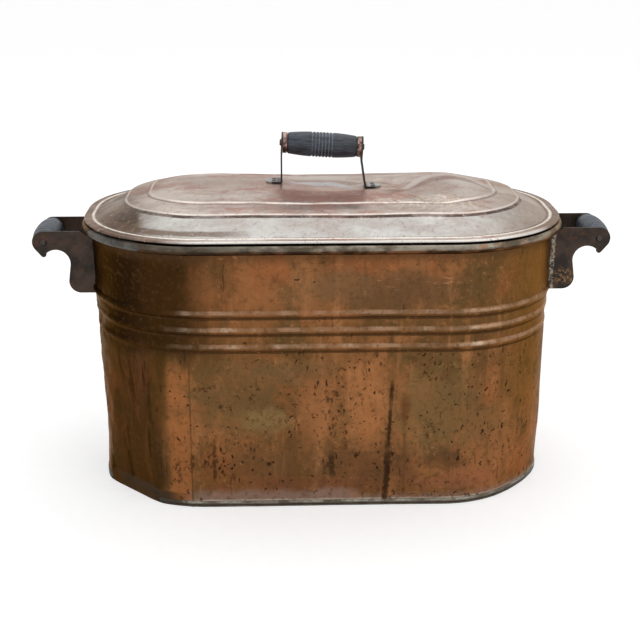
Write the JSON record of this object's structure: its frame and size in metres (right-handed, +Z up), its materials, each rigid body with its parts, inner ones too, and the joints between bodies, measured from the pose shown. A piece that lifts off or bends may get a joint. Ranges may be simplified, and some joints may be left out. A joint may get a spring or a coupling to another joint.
{
  "type": "laundry copper boiler",
  "caption": "Oblong copper wash boiler with swaged beads, a wired rim, a stepped lift-off lid with a turned handle, and riveted end brackets with turned wooden grips.",
  "frame": {"origin": "middle of the base, on the floor the boiler stands on", "axes": "+X along the length towards the right-hand side grip, +Y to the back where the body seam is, +Z up"},
  "size_m": [0.688, 0.3224, 0.4143],
  "materials": {
    "copper_body": "aged copper, brown patina with pits and scratches",
    "copper_base": "aged copper, dull",
    "copper_lid": "tinned and tarnished copper, grey with copper showing through",
    "rim_iron": "bare iron wire inside the roll",
    "dark_steel": "dark iron strap, lightly rusted",
    "bracket_steel": "dark brown japanned steel, worn",
    "rivet_iron": "dull iron",
    "rod_iron": "dull iron",
    "lid_grip_wood": "ebonised turned wood, worn",
    "side_grip_wood": "ebonised turned wood, worn",
    "ferrule_copper": "thin copper cap"
  },
  "bodies": {
    "boiler": {"body_wall": "copper_body", "rim_wire": "rim_iron", "bottom_pan": "copper_base", "side_bracket_right": "bracket_steel", "side_bracket_rivets_right": "rivet_iron", "side_grip_rod_right": "rod_iron", "side_bracket_left": "bracket_steel", "side_bracket_rivets_left": "rivet_iron", "side_grip_rod_left": "rod_iron"},
    "lid": {"lid_panel": "copper_lid", "lid_collar": "copper_lid", "lid_strap_left": "dark_steel", "lid_strap_right": "dark_steel", "lid_strap_rivets": "rivet_iron", "lid_grip_rod": "rod_iron"},
    "lid_handle_grip": {"lid_grip": "lid_grip_wood", "lid_ferrule_left": "ferrule_copper", "lid_ferrule_right": "ferrule_copper"},
    "right_handle_grip": {"side_grip_right": "side_grip_wood"},
    "left_handle_grip": {"side_grip_left": "side_grip_wood"}
  },
  "joints": [
    {"name": "lid_lift", "type": "slide", "parent": "boiler", "child": "lid", "axis": [0, 0, 1], "range_m": [0, 0.3]},
    {"name": "lid_grip_spin", "type": "hinge", "parent": "lid", "child": "lid_handle_grip", "pos_m": [0, 0, 0.3988], "axis": [0.9981, 0, -0.0615], "continuous": true},
    {"name": "right_grip_spin", "type": "hinge", "parent": "boiler", "child": "right_handle_grip", "pos_m": [0.328, 0, 0.292], "axis": [0, 1, 0], "continuous": true},
    {"name": "left_grip_spin", "type": "hinge", "parent": "boiler", "child": "left_handle_grip", "pos_m": [-0.328, 0, 0.292], "axis": [0, 1, 0], "continuous": true}
  ]
}
